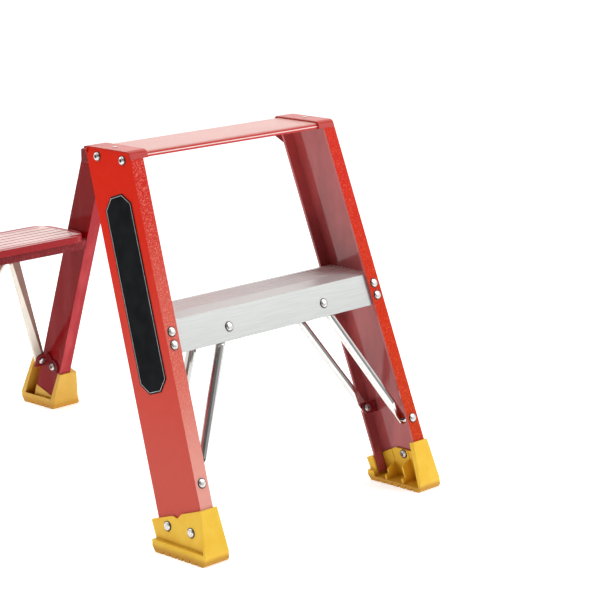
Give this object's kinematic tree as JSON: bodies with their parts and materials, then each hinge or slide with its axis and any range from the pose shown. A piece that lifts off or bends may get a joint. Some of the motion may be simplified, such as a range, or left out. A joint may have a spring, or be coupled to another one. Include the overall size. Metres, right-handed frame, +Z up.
{
  "type": "step ladder",
  "caption": "Double-sided step ladder: red rails with an aluminium step and flat top, yellow feet, steel braces, and a folding rear frame with a ribbed tread.",
  "frame": {"origin": "centre of the bounding box's bottom, on the floor under the middle of the ladder", "axes": "+Z up, the front step faces -Y, +X to the right of someone looking at the front step from behind -Y"},
  "size_m": [0.5266, 0.901, 0.584],
  "materials": {
    "brace_clevis_left": "dark red powder coat",
    "brace_clevis_right": "dark red powder coat",
    "brace_spacer_left": "zinc plated steel",
    "brace_spacer_right": "zinc plated steel",
    "clevis_bolt_left": "zinc plated fastener head",
    "clevis_bolt_right": "zinc plated fastener head",
    "foot_bolt_left": "zinc plated fastener head",
    "foot_bolt_right": "zinc plated fastener head",
    "foot_rivet_front_left": "zinc plated fastener head",
    "foot_rivet_front_right": "zinc plated fastener head",
    "foot_rivet_rear_left": "zinc plated fastener head",
    "foot_rivet_rear_right": "zinc plated fastener head",
    "front_brace_front_left": "bright zinc plated steel",
    "front_brace_front_right": "bright zinc plated steel",
    "front_brace_rear_left": "bright zinc plated steel",
    "front_brace_rear_right": "bright zinc plated steel",
    "front_foot_left": "satin yellow moulded plastic",
    "front_foot_right": "satin yellow moulded plastic",
    "front_rail_left": "satin red pultruded composite, lightly textured on the flanges",
    "front_rail_right": "satin red pultruded composite, lightly textured on the flanges",
    "front_step": "brushed extrusion with lengthwise ridges",
    "hinge_pin_left": "zinc plated steel",
    "hinge_pin_right": "zinc plated steel",
    "hinge_plate_left": "zinc plated steel",
    "hinge_plate_right": "zinc plated steel",
    "hinge_tube": "gloss red powder coat",
    "link_cross": "gloss red powder coat",
    "link_head": "gloss red powder coat",
    "link_right": "gloss red powder coat",
    "rail_rivet_brace_left": "zinc plated fastener head",
    "rail_rivet_brace_right": "zinc plated fastener head",
    "rail_rivet_lower_left": "zinc plated fastener head",
    "rail_rivet_lower_right": "zinc plated fastener head",
    "rail_rivet_upper_left": "zinc plated fastener head",
    "rail_rivet_upper_right": "zinc plated fastener head",
    "rear_bolt_lower_left": "zinc plated fastener head",
    "rear_bolt_lower_right": "zinc plated fastener head",
    "rear_bolt_upper_left": "zinc plated fastener head",
    "rear_bolt_upper_right": "zinc plated fastener head",
    "rear_brace_left": "bright zinc plated steel",
    "rear_brace_right": "bright zinc plated steel",
    "rear_bracket_left": "dark red powder coat",
    "rear_bracket_right": "dark red powder coat",
    "rear_foot_left": "satin yellow moulded plastic",
    "rear_foot_right": "satin yellow moulded plastic",
    "rear_rail_left": "satin red pultruded composite, lightly textured on the flanges",
    "rear_rail_right": "satin red pultruded composite, lightly textured on the flanges",
    "rear_skirt_front": "dark red powder coat",
    "rear_skirt_rear": "dark red powder coat",
    "rear_tread": "gloss red powder coat on ribbed sheet",
    "side_label": "plain dark plate with no lettering",
    "step_rivet_left": "zinc plated fastener head",
    "step_rivet_right": "zinc plated fastener head",
    "top_bolt_front_left": "zinc plated fastener head",
    "top_bolt_front_right": "zinc plated fastener head",
    "top_bolt_rear_left": "zinc plated fastener head",
    "top_bolt_rear_right": "zinc plated fastener head",
    "top_cap_left": "gloss red powder coat on sheet",
    "top_cap_right": "gloss red powder coat on sheet",
    "top_tread": "gloss red powder coat on sheet"
  },
  "bodies": {
    "front_frame": {"brace_clevis_left": "brace_clevis_left", "brace_clevis_right": "brace_clevis_right", "brace_spacer_left": "brace_spacer_left", "brace_spacer_right": "brace_spacer_right", "clevis_bolt_left": "clevis_bolt_left", "clevis_bolt_right": "clevis_bolt_right", "foot_bolt_left": "foot_bolt_left", "foot_bolt_right": "foot_bolt_right", "foot_rivet_front_left": "foot_rivet_front_left", "foot_rivet_front_right": "foot_rivet_front_right", "foot_rivet_rear_left": "foot_rivet_rear_left", "foot_rivet_rear_right": "foot_rivet_rear_right", "front_brace_front_left": "front_brace_front_left", "front_brace_front_right": "front_brace_front_right", "front_brace_rear_left": "front_brace_rear_left", "front_brace_rear_right": "front_brace_rear_right", "front_foot_left": "front_foot_left", "front_foot_right": "front_foot_right", "front_rail_left": "front_rail_left", "front_rail_right": "front_rail_right", "front_step": "front_step", "hinge_pin_left": "hinge_pin_left", "hinge_pin_right": "hinge_pin_right", "hinge_plate_left": "hinge_plate_left", "hinge_plate_right": "hinge_plate_right", "rail_rivet_brace_left": "rail_rivet_brace_left", "rail_rivet_brace_right": "rail_rivet_brace_right", "rail_rivet_lower_left": "rail_rivet_lower_left", "rail_rivet_lower_right": "rail_rivet_lower_right", "rail_rivet_upper_left": "rail_rivet_upper_left", "rail_rivet_upper_right": "rail_rivet_upper_right", "side_label": "side_label", "step_rivet_left": "step_rivet_left", "step_rivet_right": "step_rivet_right", "top_bolt_front_left": "top_bolt_front_left", "top_bolt_front_right": "top_bolt_front_right", "top_bolt_rear_left": "top_bolt_rear_left", "top_bolt_rear_right": "top_bolt_rear_right", "top_cap_left": "top_cap_left", "top_cap_right": "top_cap_right", "top_tread": "top_tread"},
    "rear_frame": {"hinge_tube": "hinge_tube", "link_cross": "link_cross", "link_head": "link_head", "link_right": "link_right", "rear_bolt_lower_left": "rear_bolt_lower_left", "rear_bolt_lower_right": "rear_bolt_lower_right", "rear_bolt_upper_left": "rear_bolt_upper_left", "rear_bolt_upper_right": "rear_bolt_upper_right", "rear_brace_left": "rear_brace_left", "rear_brace_right": "rear_brace_right", "rear_bracket_left": "rear_bracket_left", "rear_bracket_right": "rear_bracket_right", "rear_foot_left": "rear_foot_left", "rear_foot_right": "rear_foot_right", "rear_rail_left": "rear_rail_left", "rear_rail_right": "rear_rail_right", "rear_skirt_front": "rear_skirt_front", "rear_skirt_rear": "rear_skirt_rear", "rear_tread": "rear_tread"}
  },
  "joints": [
    {"name": "rear_fold", "type": "hinge", "parent": "front_frame", "child": "rear_frame", "pos_m": [0, -0.14977, 0.56], "axis": [1, 0, 0], "range_deg": [-45, 0]}
  ]
}
